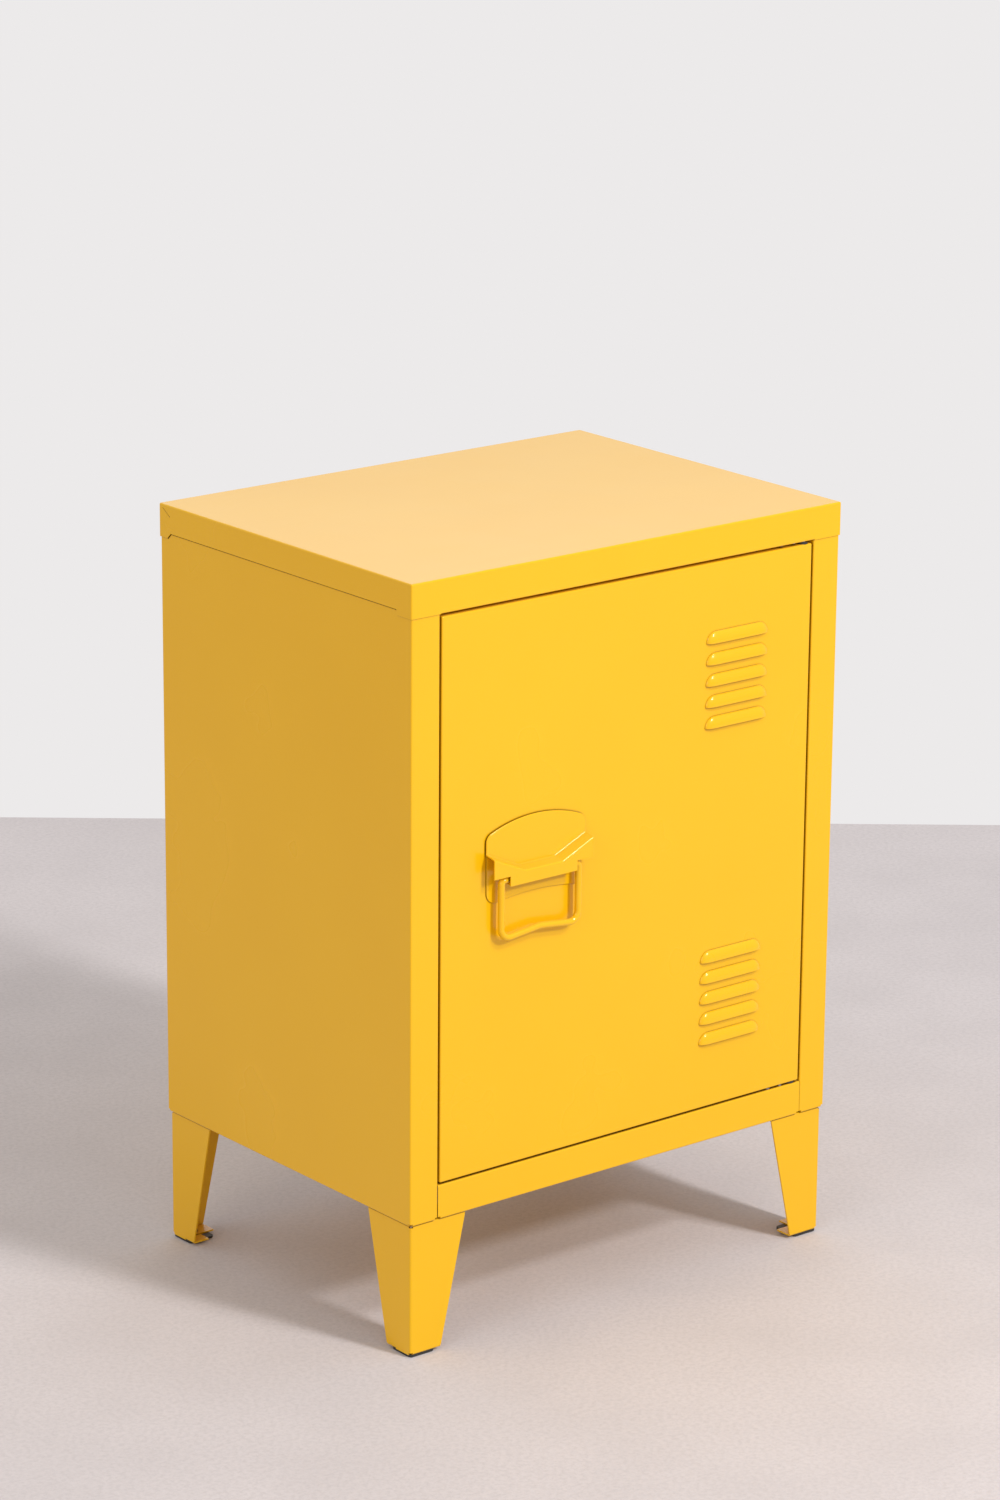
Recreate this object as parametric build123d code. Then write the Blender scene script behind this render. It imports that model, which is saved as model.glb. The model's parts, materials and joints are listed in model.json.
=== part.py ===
from build123d import *
import os

# A one-door steel bedside cabinet in the style of a locker, on four tapered folded legs.
# Millimetres. +X is the cabinet's right, -Y its front, +Z up. The origin lies on the floor,
# under the middle of the overall box, which takes in the handle and the rear screw heads.

# ---- overall sizes -------------------------------------------------------------------------
width = 400.0            # over the top panel
depth = 300.0            # over the top panel
height = 575.0           # floor to the top face
leg_height = 100.0       # leg without its pad

# ---- sheet metal ---------------------------------------------------------------------------
sheet = 0.8              # body and door sheet
bend = 0.5               # inside radius of a fold
leg_sheet = 1.2
fit = 0.1                # gap between two sheets that slide into each other
relief_width = 2.4       # corner notch that lets two folds meet
relief_height = 1.8
seat_gap = 0.3           # gap between a loose piece and what carries it

# ---- carcass -------------------------------------------------------------------------------
top_skirt = 25.0         # depth of the top panel's skirt
skirt_step = 4.0         # the side skirts stop this much higher between their corners
skirt_step_front = 17.0  # length of the full-depth corner, at the front and at the rear
skirt_step_rear = 14.0
skirt_return = 12.0      # flange folded back from the front skirt, over the door
lap_inset = 4.6          # the rear corner's lap line starts this far from the rear edge
lap_below = 2.8          # and this far under the top
lap_run = 9.2
lap_drop = 5.8
lap_line = 0.35          # width of that line
slot_height = 0.7        # shadow slot in the side panels, along the step's edge
stile = 25.0             # face width of the side panels' front folds
jamb = 30.0              # depth of the fold behind a stile
rear_flange = 20.0
body_flange = 15.0       # flanges along the body's top and bottom edges
rail = 26.0              # face height of the bottom panel's front fold
back_edge_gap = 1.0      # back panel to the folds above, below and beside it

# ---- door ----------------------------------------------------------------------------------
door_thickness = 16.0
door_lip = 12.0          # flange folded round the door's back
door_gap_side = 1.7
door_gap_top = 2.3
door_gap_bottom = 1.5
stiffener_width = 60.0
stiffener_from_back = 3.2  # door's back face to the stiffener's
stiffener_flange = 12.0
louvre_count = 5         # in each of the two groups
louvre_length = 59.0
louvre_height = 8.5
louvre_reach = 3.5
louvre_pitch = 16.0
louvre_from_hinge_edge = 42.5
louvre_top_drop = 59.7   # door top to the upper group's first lower edge
louvre_bottom_rise = 50.5  # door bottom to the lower group's last lower edge

# ---- hinges --------------------------------------------------------------------------------
hinge_from_edge = 6.0    # axis to the door's edge
hinge_from_face = 4.0    # axis to the door's front face
pin_diameter = 4.0
pin_head_diameter = 6.0
pin_head = 2.0
pin_grip = 6.0           # length of pin inside the door
running = 0.05           # radial clearance of a running fit
bush_wall = 0.9
bush_length = 4.0
bush_flange_diameter = 7.2
bracket_length = 34.0
bracket_width = 11.0
bracket_sheet = 2.0
hinge_rivet_first = 10.0   # axis to the first rivet
hinge_rivet_pitch = 12.0
rivet_diameter = 3.0
rivet_head_diameter = 5.6
rivet_head = 1.2
rivet_tail = 0.7

# ---- handle: heights are above the bail's axis ---------------------------------------------
handle_from_latch_edge = 84.5  # door's free edge to the handle's middle
handle_rise = 9.7        # bail's axis above the door's mid-height
plate_sheet = 1.0        # back plate and hood
hood_half_width = 45.3
hood_arch_radius = 110.0
hood_arch_top = 42.3
hood_corner = 7.0
hood_rim = 0.7           # rounding of the hood's outer edge
hood_crease = 1.2        # rounding of the hood's two creases
hood_reach = 11.2        # door face to the lip's outer face
ledge_middle_half = 17.0
ledge_middle_height = 7.4
ledge_end_height = 20.0
ledge_drop = 1.8
ledge_corner = 5.0       # bend radius where the ledge turns up
lip_middle_half = 30.6
lip_middle_bottom = -4.1
lip_end_bottom = 3.4
back_half_width = 44.3
back_plate_bottom = -19.2
back_plate_rise = 4.6    # of its hollow bottom edge
back_plate_corner = 8.0
bail_wire = 5.0
bail_half_width = 35.4
bail_reach = 6.5         # door face to the bail's axis
bail_drop = 44.3
bail_peak_rise = 4.0
bail_top_radius = 3.2
bail_corner_radius = 7.5
bail_peak_radius = 14.0
bail_stub_end = 24.0
ear_thickness = 1.2
ear_half_height = 4.4
ear_middle = 27.6        # handle's middle to the middle of an ear
ear_corner = 3.0
ear_gap = 0.2            # ear to the hood's lip
stud_diameter = 4.0
stud_hole = 4.3
upper_stud_half_span = 30.0
upper_stud_height = 28.0
lower_stud_half_span = 15.0
lower_stud_height = 0.5

# ---- magnetic catch ------------------------------------------------------------------------
catch_length = 46.0
catch_width = 14.0
catch_depth = 11.5
catch_corner = 1.2
magnet_length = 26.0
magnet_thickness = 4.0
magnet_depth = 8.0
pole_thickness = 1.2
pole_stand_out = 0.4
catch_screw_half_span = 18.0
catch_screw_diameter = 3.0
catch_screw_hole = 3.3
catch_screw_tail = 4.0
strike_length = 40.0
strike_width = 10.0
strike_thickness = 1.0
strike_rivet_half_span = 16.5
strike_rivet_head = 0.4

# ---- shelf ---------------------------------------------------------------------------------
shelf_height = 205.0     # shelf top above the cabinet's floor
shelf_thickness = 18.0
shelf_lip = 10.0
shelf_side_gap = 1.2
shelf_front_gap = 1.0
clip_length = 30.0
clip_leaf = 13.0
clip_upright = 16.0
clip_sheet = 1.5
clip_inset = 45.0        # clip's middle to the shelf's front or rear edge

# ---- legs ----------------------------------------------------------------------------------
leg_inset = 1.6          # leg face behind the body's face
leg_top = 50.0
leg_bottom = 27.5
leg_top_tab = 20.0
foot_tab = 15.0          # tab under the leg's front or rear face
foot_side_tab = 14.0     # tab under its side face ...
foot_side_tab_start = 17.0  # ... which starts this far from the corner
pad_height = 2.0
pad_size = 22.0
pad_inset = 0.6
pad_corner = 2.5
pad_stem_diameter = 5.0
pad_stem_hole = 5.2
pad_stem_along = 13.0    # leg's corner to the stem
pad_stem_in = 8.5
pad_head_diameter = 6.6
pad_head_height = 1.6

# ---- fasteners -----------------------------------------------------------------------------
bolt_diameter = 6.0
bolt_hole = 6.6
bolt_head_flats = 10.0
bolt_head_height = 4.0
nut_height = 5.0
nut_bore = 6.1
bolt_tail = 1.5
side_bolt_from_face = 38.0   # bolt in a leg's side tab, from the body's front or rear face
side_bolt_from_side = 9.9
front_bolt_from_face = 9.6   # bolt in a leg's front or rear tab
front_bolt_from_side = 37.0
screw_diameter = 4.0
screw_hole = 4.2
screw_head_diameter = 7.6
screw_head = 2.0
screw_tail = 3.0
recess_width = 0.9
rear_screw_from_edge = 10.0
rear_screw_shares = (0.15, 0.42, 0.80)  # of the side panel's height

# ---- places worked out from the sizes ------------------------------------------------------
handle_stand_out = hood_reach - sheet
front = -(depth + handle_stand_out + screw_head) / 2 + handle_stand_out
rear = front + depth
face = front + sheet                     # outer plane of stiles, rail and door
back = rear - sheet                      # outer plane of the side panels' rear flanges
side = width / 2 - sheet                 # outer plane of the side panels
middle_y = (front + rear) / 2
body_bottom = pad_height + leg_height
panel_top = height - sheet
skirt_bottom = height - top_skirt
floor_top = body_bottom + rail
fold_low = body_bottom + relief_height   # the panels' upright faces span these two heights,
fold_high = panel_top - relief_height    # and the flanges turn off above and below them
opening_half = side - stile              # half the width between the stiles
door_left = -opening_half + door_gap_side
door_right = opening_half - door_gap_side
door_bottom = floor_top + door_gap_bottom
door_top = skirt_bottom - door_gap_top
door_back = face + door_thickness
stiffener_depth = door_thickness - sheet - stiffener_from_back
hinge_x = door_right - hinge_from_edge
hinge_y = face + hinge_from_face
bush_radius = pin_diameter / 2 + running + bush_wall
bush_flange = door_gap_bottom - seat_gap
handle_x = door_left + handle_from_latch_edge
axis_z = (door_bottom + door_top) / 2 + handle_rise
back_inner = back - 2 * sheet            # inner face of the back panel
tray_rear = back_inner - fit
tray_side = side - sheet - fit
tray_front = face + jamb + seat_gap      # the floor widens behind the jambs
shelf_top = floor_top + shelf_height
shelf_bottom = shelf_top - shelf_thickness
shelf_front = face + jamb + shelf_front_gap
shelf_rear = back_inner - shelf_side_gap
shelf_half = side - sheet - shelf_side_gap
catch_front = door_back + strike_thickness + seat_gap + pole_stand_out
catch_x = -opening_half + catch_width / 2
rear_screw_x = side - rear_screw_from_edge
rear_screw_heights = [body_bottom + (panel_top - body_bottom) * share for share in rear_screw_shares]
top_screw_height = height - top_skirt / 2
leg_x = -side + leg_inset                # outer corner of the front left leg
leg_y = face + leg_inset


# ---- helpers -------------------------------------------------------------------------------
def block(x, y, z):
    """A box between pairs of coordinates."""
    shape = Box(x[1] - x[0], y[1] - y[0], z[1] - z[0])
    return Pos((x[0] + x[1]) / 2, (y[0] + y[1]) / 2, (z[0] + z[1]) / 2) * shape


def rod(radius, start, end):
    """A round bar from one point to another."""
    run = Vector(*end) - Vector(*start)
    return extrude(Plane(origin=start, z_dir=run) * Circle(radius), amount=run.length)


def right_of(a, b):
    """Unit vector to the right of the run from a to b."""
    run = (Vector(*b) - Vector(*a)).normalized()
    return Vector(run.Y, -run.X)


def strip_section(points, thickness):
    """Section of a folded sheet: the points run along one face, with the metal to their right."""
    normals = [right_of(a, b) for a, b in zip(points[:-1], points[1:])]
    far = [Vector(*points[0]) + normals[0] * thickness]
    near_radii = []
    far_radii = []
    for before, after, corner in zip(normals[:-1], normals[1:], points[1:-1]):
        far.append(Vector(*corner) + (before + after) * (thickness / (1 + before.dot(after))))
        turns_right = before.X * after.Y < before.Y * after.X
        near_radii.append(bend + thickness if turns_right else bend)
        far_radii.append(bend if turns_right else bend + thickness)
    far.append(Vector(*points[-1]) + normals[-1] * thickness)
    edges = FilletPolyline(*points, radius=near_radii).edges()
    edges += FilletPolyline(*far, radius=far_radii).edges()
    edges += Line(points[0], far[0]).edges()
    edges += Line(points[-1], far[-1]).edges()
    return make_face(edges)


def strip_up(points, z, thickness=sheet):
    """Folded sheet with its section in plan."""
    return extrude(Plane.XY.offset(z[0]) * strip_section(points, thickness), amount=z[1] - z[0])


def strip_across(points, x, thickness=sheet):
    """Folded sheet with its section in Y and Z, running along X."""
    return extrude(Plane.YZ.offset(x[0]) * strip_section(points, thickness), amount=x[1] - x[0])


def strip_back(points, y, thickness=sheet):
    """Folded sheet with its section in X and Z, running along Y."""
    return extrude(Plane.XZ.offset(-y[1]) * strip_section(points, thickness), amount=y[1] - y[0])


def pan(x, y, z, window_x, window_y, window_z):
    """A shallow sheet box with every edge folded round, open through a window in one face."""
    outer = block(x, y, z)
    outer = fillet(outer.edges(), bend + sheet)
    inner = block((x[0] + sheet, x[1] - sheet), (y[0] + sheet, y[1] - sheet), (z[0] + sheet, z[1] - sheet))
    inner = fillet(inner.edges(), bend)
    return outer - inner - block(window_x, window_y, window_z)


def hexagon(flats, x, y, z):
    """A hexagonal prism between two heights."""
    outline = RegularPolygon(flats / 2, 6, major_radius=False)
    return extrude(Plane.XY.offset(z[0]) * Pos(x, y) * outline, amount=z[1] - z[0])


def pan_screw(seat, length, diameter=screw_diameter):
    """A cross-recessed pan-head screw. seat is the plane under its head, facing its tip."""
    head = extrude(seat * Circle(screw_head_diameter / 2), amount=-screw_head)
    crown = head.edges().filter_by(GeomType.CIRCLE).sort_by(lambda edge: edge.center().dot(seat.z_dir))[0]
    head = fillet(crown, screw_head / 2)
    arm = screw_head_diameter * 0.55
    cross = Rectangle(arm, recess_width) + Rectangle(recess_width, arm)
    recess = extrude(seat.offset(-screw_head) * cross, amount=screw_head / 2)
    return head - recess + extrude(seat * Circle(diameter / 2), amount=length)


def rivet(seat, grip, head=rivet_head, tail=rivet_tail):
    """A set rivet. seat is the plane under its head, facing its tail; grip is the metal it holds."""
    shape = extrude(seat * Circle(rivet_head_diameter / 2), amount=-head)
    shape += extrude(seat * Circle(rivet_diameter / 2), amount=grip)
    return shape + extrude(seat.offset(grip) * Circle(rivet_head_diameter / 2 - 0.6), amount=tail)


def mirrored(shape, across_x, across_y):
    """A copy on the other side of the cabinet's middle planes."""
    if across_x:
        shape = mirror(shape, about=Plane.YZ)
    if across_y:
        shape = mirror(shape, about=Plane.XZ.offset(-middle_y))
    return shape


def corner_places(from_side, from_face):
    """The four plan positions at a distance from the body's sides and from its front and rear."""
    return [(hand * (side - from_side), y) for y in (face + from_face, back - from_face) for hand in (-1, 1)]


# ---- carcass -------------------------------------------------------------------------------
def step_points():
    """The lower edge of a side skirt between its corners, from front to rear, as (y, z)."""
    edge = skirt_bottom + skirt_step
    end = rear - skirt_step_rear
    return [(front + skirt_step_front, edge), (end, edge), (end + skirt_step, skirt_bottom)]


def top_panel():
    """The lid: a pan with a skirt all round, stepped at the sides and folded back over the door."""
    outer = block((-width / 2, width / 2), (front, rear), (skirt_bottom, height))
    outer = fillet(outer.faces().sort_by(Axis.Z)[-1].edges() + outer.edges().filter_by(Axis.Z), bend + sheet)
    inner = block((-side, side), (face, back), (skirt_bottom - 1, panel_top))
    inner = fillet(inner.faces().sort_by(Axis.Z)[-1].edges() + inner.edges().filter_by(Axis.Z), bend)
    panel = outer - inner

    step = Polyline(*step_points(), (front + skirt_step_front, skirt_bottom), close=True)
    lap = Line((rear - lap_inset, height - lap_below),
               (rear - lap_inset - lap_run, height - lap_below - lap_drop))
    for hand in (-1, 1):
        skirt = Plane.YZ.offset(hand * width / 2)
        panel -= extrude(skirt * make_face(step), amount=2 * sheet, both=True)
        panel -= extrude(skirt * trace(lap, lap_line), amount=lap_line, both=True)

    span = (-opening_half + fit, opening_half - fit)
    turn = skirt_bottom + relief_height
    panel -= block(span, (front - 1, face + 1), (skirt_bottom - 1, turn))
    panel += strip_across([(face + skirt_return, skirt_bottom), (front, skirt_bottom), (front, turn)], span)
    panel -= rod(pin_diameter / 2 + running, (hinge_x, hinge_y, skirt_bottom - 1), (hinge_x, hinge_y, turn))
    for x in hinge_rivet_places():
        panel -= rod(rivet_diameter / 2 + running, (x, hinge_y, skirt_bottom - 1), (x, hinge_y, turn))
    for hand in (-1, 1):
        x = hand * rear_screw_x
        panel -= rod(screw_hole / 2, (x, back - 1, top_screw_height), (x, rear + 1, top_screw_height))
    return panel


def side_panel(is_right):
    """Jamb, stile, side and rear flange in one folded sheet, with flanges above and below."""
    plan = [(-opening_half, face + jamb), (-opening_half, face), (-side, face), (-side, back),
            (-side + rear_flange, back)]
    panel = strip_up(plan, (fold_low, fold_high))
    along = (face + relief_width, back - relief_width)
    inward = -side + body_flange
    panel += strip_back([(inward, body_bottom), (-side, body_bottom), (-side, fold_low)], along)
    panel += strip_back([(-side, fold_high), (-side, panel_top), (inward, panel_top)], along)
    panel += strip_across([(face + body_flange, body_bottom), (face, body_bottom), (face, fold_low)],
                          (-side + relief_width, -opening_half - relief_width))
    slot = Pos(0, -slot_height / 2) * trace(Polyline(*step_points()), slot_height)
    panel -= extrude(Plane.YZ.offset(-side) * slot, amount=2 * sheet, both=True)
    for z in rear_screw_heights + [top_screw_height]:
        panel -= rod(screw_hole / 2, (-rear_screw_x, back_inner, z), (-rear_screw_x, rear, z))
    for x, y in corner_places(side_bolt_from_side, side_bolt_from_face):
        panel -= rod(bolt_hole / 2, (x, y, body_bottom - 1), (x, y, body_bottom + 1))
    if is_right:
        return mirrored(panel, across_x=True, across_y=False)
    for z in (axis_z - catch_screw_half_span, axis_z + catch_screw_half_span):
        y = catch_front + catch_depth / 2
        panel -= rod(catch_screw_hole / 2, (-opening_half - 2, y, z), (-opening_half + 1, y, z))
    return panel


def back_panel():
    """A flat sheet behind the rear flanges of the side panels."""
    half = side - sheet - back_edge_gap
    panel = block((-half, half), (back_inner, back_inner + sheet),
                  (body_bottom + back_edge_gap, panel_top - sheet - back_edge_gap))
    for hand in (-1, 1):
        for z in rear_screw_heights + [top_screw_height]:
            x = hand * rear_screw_x
            panel -= rod(screw_hole / 2, (x, back_inner - 1, z), (x, back, z))
    return panel


def bottom_panel():
    """Cabinet floor, with the rail at its front and flanges down to the legs' bolts all round."""
    half = opening_half - fit
    panel = strip_across([(face, fold_low), (face, floor_top), (tray_rear - body_flange, floor_top)],
                         (-half, half))
    panel += strip_across([(face + body_flange, body_bottom), (face, body_bottom), (face, fold_low)],
                          (-half + relief_width, half - relief_width))
    wide = tray_side - relief_width
    panel += strip_across([(tray_front, floor_top), (tray_rear, floor_top), (tray_rear, fold_low)],
                          (-wide, wide))
    inner_half = side - body_flange - fit
    panel += strip_across([(tray_rear, fold_low), (tray_rear, body_bottom),
                           (tray_rear - body_flange, body_bottom)], (-inner_half, inner_half))
    seat = body_bottom + sheet
    wing = strip_back([(-tray_side + body_flange, seat), (-tray_side, seat), (-tray_side, floor_top),
                       (-opening_half, floor_top)], (tray_front, tray_rear - relief_width))
    panel += wing
    panel += mirrored(wing, across_x=True, across_y=False)
    for x, y in corner_places(side_bolt_from_side, side_bolt_from_face):
        panel -= rod(bolt_hole / 2, (x, y, body_bottom - 1), (x, y, seat + 1))
    for x, y in corner_places(front_bolt_from_side, front_bolt_from_face):
        panel -= rod(bolt_hole / 2, (x, y, body_bottom - 1), (x, y, seat + 1))
    under = floor_top - 2 * sheet
    panel -= rod(pin_diameter / 2 + running, (hinge_x, hinge_y, under), (hinge_x, hinge_y, floor_top + 1))
    for x in hinge_rivet_places():
        panel -= rod(rivet_diameter / 2 + running, (x, hinge_y, under), (x, hinge_y, floor_top + 1))
    return panel


# ---- legs ----------------------------------------------------------------------------------
def leg(is_right, is_rear):
    """Tapered angle leg with bolting tabs at its top and foot tabs at its bottom."""
    low = pad_height + relief_height
    high = body_bottom - relief_height
    shape = strip_up([(leg_x + leg_top, leg_y), (leg_x, leg_y), (leg_x, leg_y + leg_top)],
                     (low, high), leg_sheet)
    start = relief_width
    shape += strip_back([(leg_x, high), (leg_x, body_bottom), (leg_x + leg_top_tab, body_bottom)],
                        (leg_y + start, leg_y + leg_top), leg_sheet)
    shape += strip_across([(leg_y, high), (leg_y, body_bottom), (leg_y + leg_top_tab, body_bottom)],
                          (leg_x + start, leg_x + leg_top), leg_sheet)
    shape += strip_across([(leg_y + foot_tab, pad_height), (leg_y, pad_height), (leg_y, low)],
                          (leg_x + start, leg_x + leg_bottom), leg_sheet)
    shape += strip_back([(leg_x + foot_side_tab, pad_height), (leg_x, pad_height), (leg_x, low)],
                        (leg_y + foot_side_tab_start, leg_y + leg_bottom), leg_sheet)
    shape += block((leg_x, leg_x + leg_sheet), (leg_y + start, leg_y + foot_side_tab_start),
                   (pad_height, low))

    taper = [(-1, pad_height), (leg_bottom, pad_height), (leg_top, body_bottom), (-1, body_bottom)]
    front_view = make_face(Polyline(*[(leg_x + u, z) for u, z in taper], close=True))
    side_view = make_face(Polyline(*[(leg_y + u, z) for u, z in taper], close=True))
    shape &= extrude(Plane.XZ.offset(-leg_y) * front_view, amount=leg_top + 1, both=True)
    shape &= extrude(Plane.YZ.offset(leg_x) * side_view, amount=leg_top + 1, both=True)

    for from_side, from_face in ((side_bolt_from_side, side_bolt_from_face),
                                 (front_bolt_from_side, front_bolt_from_face)):
        x, y = corner_places(from_side, from_face)[0]
        shape -= rod(bolt_hole / 2, (x, y, high - 1), (x, y, body_bottom + 1))
    x, y = leg_x + pad_stem_along, leg_y + pad_stem_in
    shape -= rod(pad_stem_hole / 2, (x, y, 0), (x, y, low + 1))
    return mirrored(shape, is_right, is_rear)


def foot_pad(is_right, is_rear):
    """Plastic pad under a leg, snapped through the foot tab."""
    x = (leg_x + pad_inset, leg_x + pad_inset + pad_size)
    y = (leg_y + pad_inset, leg_y + pad_inset + pad_size)
    pad = block(x, y, (0, pad_height))
    pad = fillet(pad.edges().filter_by(Axis.Z), pad_corner)
    pad = chamfer(pad.faces().sort_by(Axis.Z)[0].edges(), pad_height / 5)
    stem_x, stem_y = leg_x + pad_stem_along, leg_y + pad_stem_in
    tab_top = pad_height + leg_sheet
    pad += rod(pad_stem_diameter / 2, (stem_x, stem_y, pad_height / 2), (stem_x, stem_y, tab_top))
    pad += rod(pad_head_diameter / 2, (stem_x, stem_y, tab_top), (stem_x, stem_y, tab_top + pad_head_height))
    return mirrored(pad, is_right, is_rear)


def leg_bolt_places():
    """Plan position of each leg bolt, with the height that its nut sits on."""
    beside = corner_places(side_bolt_from_side, side_bolt_from_face)
    ahead = corner_places(front_bolt_from_side, front_bolt_from_face)
    seat = body_bottom + sheet
    return [(x, y, seat + sheet) for x, y in beside] + [(x, y, seat) for x, y in ahead]


def leg_bolts():
    bolts = []
    seat = body_bottom - leg_sheet
    for x, y, nut_seat in leg_bolt_places():
        head = hexagon(bolt_head_flats, x, y, (seat - bolt_head_height, seat))
        bolts.append(head + rod(bolt_diameter / 2, (x, y, seat), (x, y, nut_seat + nut_height + bolt_tail)))
    return bolts


def leg_nuts():
    nuts = []
    for x, y, seat in leg_bolt_places():
        nut = hexagon(bolt_head_flats, x, y, (seat, seat + nut_height))
        nuts.append(nut - rod(nut_bore / 2, (x, y, seat - 1), (x, y, seat + nut_height + 1)))
    return nuts


def back_screws():
    """Screws through the side panels' rear flanges into the back panel."""
    places = [(hand * rear_screw_x, back, z) for hand in (-1, 1) for z in rear_screw_heights]
    return [pan_screw(Plane(origin=p, z_dir=(0, -1, 0)), 2 * sheet + screw_tail) for p in places]


def top_screws():
    """Screws through the top panel's rear skirt."""
    places = [(hand * rear_screw_x, rear, top_screw_height) for hand in (-1, 1)]
    return [pan_screw(Plane(origin=p, z_dir=(0, -1, 0)), 3 * sheet + screw_tail) for p in places]


# ---- hinges --------------------------------------------------------------------------------
def hinge_rivet_places():
    return [hinge_x - hinge_rivet_first - i * hinge_rivet_pitch for i in range(2)]


def hinge_bracket(low, start_y):
    """Doubling plate that holds a hinge pin."""
    end = opening_half - fit
    high = low + bracket_sheet
    plate = block((end - bracket_length, end), (start_y, start_y + bracket_width), (low, high))
    plate -= rod(pin_diameter / 2 + running, (hinge_x, hinge_y, low - 1), (hinge_x, hinge_y, high + 1))
    for x in hinge_rivet_places():
        plate -= rod(rivet_diameter / 2 + running, (x, hinge_y, low - 1), (x, hinge_y, high + 1))
    return plate


def upper_hinge_bracket():
    return hinge_bracket(skirt_bottom + sheet, face + bend + fit)


def lower_hinge_bracket():
    return hinge_bracket(floor_top - sheet - bracket_sheet, face + sheet + bend + fit)


def upper_hinge_pin():
    seat = skirt_bottom + sheet + bracket_sheet
    pin = rod(pin_head_diameter / 2, (hinge_x, hinge_y, seat), (hinge_x, hinge_y, seat + pin_head))
    return pin + rod(pin_diameter / 2, (hinge_x, hinge_y, door_top - pin_grip), (hinge_x, hinge_y, seat))


def lower_hinge_pin():
    seat = floor_top - sheet - bracket_sheet
    pin = rod(pin_head_diameter / 2, (hinge_x, hinge_y, seat - pin_head), (hinge_x, hinge_y, seat))
    return pin + rod(pin_diameter / 2, (hinge_x, hinge_y, seat), (hinge_x, hinge_y, door_bottom + pin_grip))


def hinge_rivets():
    """Rivets that hold both brackets, with their heads on the bracket side."""
    grip = sheet + bracket_sheet
    rivets = []
    for x in hinge_rivet_places():
        above = Plane(origin=(x, hinge_y, skirt_bottom + grip), z_dir=(0, 0, -1))
        below = Plane(origin=(x, hinge_y, floor_top - grip), z_dir=(0, 0, 1))
        rivets += [rivet(above, grip), rivet(below, grip)]
    return rivets


def hinge_bush(outside, inward):
    """Flanged bush in the door's edge. outside is the edge's height, inward is 1 or -1 into the door."""
    bush = rod(bush_flange_diameter / 2, (hinge_x, hinge_y, outside - inward * bush_flange),
               (hinge_x, hinge_y, outside))
    bush += rod(bush_radius, (hinge_x, hinge_y, outside), (hinge_x, hinge_y, outside + inward * bush_length))
    return bush - rod(pin_diameter / 2 + running, (hinge_x, hinge_y, outside - 2 * bush_length),
                      (hinge_x, hinge_y, outside + 2 * bush_length))


# ---- door ----------------------------------------------------------------------------------
def louvre_form(radius, reach, core_half):
    """A bulge towards -Y with a quarter-ellipse section and rounded ends, flat along its lower edge."""
    section = Ellipse(reach, radius) & Pos(-reach / 2, radius / 2) * Rectangle(reach, radius)
    form = extrude(Plane.YZ.offset(-core_half) * section, amount=2 * core_half)
    for hand in (-1, 1):
        x = hand * core_half
        form += revolve(Plane.YZ.offset(x) * section, axis=Axis((x, 0, 0), (0, hand, 0)), revolution_arc=90)
    return form


def louvre_places():
    """Middle of each louvre's lower edge."""
    x = door_right - louvre_from_hinge_edge - louvre_length / 2
    upper = [door_top - louvre_top_drop - i * louvre_pitch for i in range(louvre_count)]
    lower = [door_bottom + louvre_bottom_rise + i * louvre_pitch for i in range(louvre_count)]
    return [(x, face, z) for z in upper + lower]


def door_skin():
    """The door's folded pan, with pressed louvres and the holes for its fittings."""
    window = ((door_left + door_lip, door_right - door_lip), (door_back - 2 * sheet, door_back + 1),
              (door_bottom + door_lip, door_top - door_lip))
    skin = pan((door_left, door_right), (face, door_back), (door_bottom, door_top), *window)

    core_half = louvre_length / 2 - louvre_height
    hood = louvre_form(louvre_height, louvre_reach, core_half)
    inner_radius = louvre_height - sheet
    hollow = louvre_form(inner_radius, louvre_reach - sheet, core_half)
    mouth = Rectangle(2 * core_half, 2 * inner_radius)
    mouth += [Pos(x, 0) * Circle(inner_radius) for x in (-core_half, core_half)]
    mouth &= Pos(0, inner_radius / 2) * Rectangle(2 * louvre_length, inner_radius)
    hollow += extrude(Plane.XZ * mouth, amount=-2 * sheet)
    skin += [Pos(*place) * hood for place in louvre_places()]
    skin -= [Pos(*place) * hollow for place in louvre_places()]

    for edge in (door_bottom, door_top):
        skin -= rod(bush_radius + running, (hinge_x, hinge_y, edge - 1.5), (hinge_x, hinge_y, edge + 1.5))
    for x, z in stud_places():
        skin -= rod(stud_hole / 2, (x, face - 1, z), (x, face + 2 * sheet, z))
    for z in strike_rivet_heights():
        x = door_left + door_lip / 2
        skin -= rod(rivet_diameter / 2 + running, (x, door_back - 2 * sheet, z), (x, door_back + 1, z))
    return skin


def door_stiffener():
    """Hat section welded up the middle of the door's inner face."""
    seat = face + sheet
    half = stiffener_width / 2
    plan = [(half + stiffener_flange, seat), (half, seat), (half, seat + stiffener_depth),
            (-half, seat + stiffener_depth), (-half, seat), (-half - stiffener_flange, seat)]
    margin = sheet + bend + fit
    return strip_up(plan, (door_bottom + margin, door_top - margin))


# ---- handle --------------------------------------------------------------------------------
def stud_places():
    """Positions on the door of the four screws that hold the handle from inside."""
    spans = ((upper_stud_half_span, upper_stud_height), (lower_stud_half_span, lower_stud_height))
    return [(handle_x + hand * half, axis_z + rise) for half, rise in spans for hand in (-1, 1)]


def arch_shoulder(half, top):
    """Height at which the arch with this top meets a side at half its width."""
    return top - hood_arch_radius + (hood_arch_radius ** 2 - half ** 2) ** 0.5


def on_door(sketch, stand_off, amount):
    """Extrudes a sketch of the handle towards -Y, from a distance in front of the door's face."""
    place = Plane(origin=(handle_x, face - stand_off, axis_z), x_dir=(1, 0, 0), z_dir=(0, -1, 0))
    return extrude(place * sketch, amount=amount)


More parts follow.
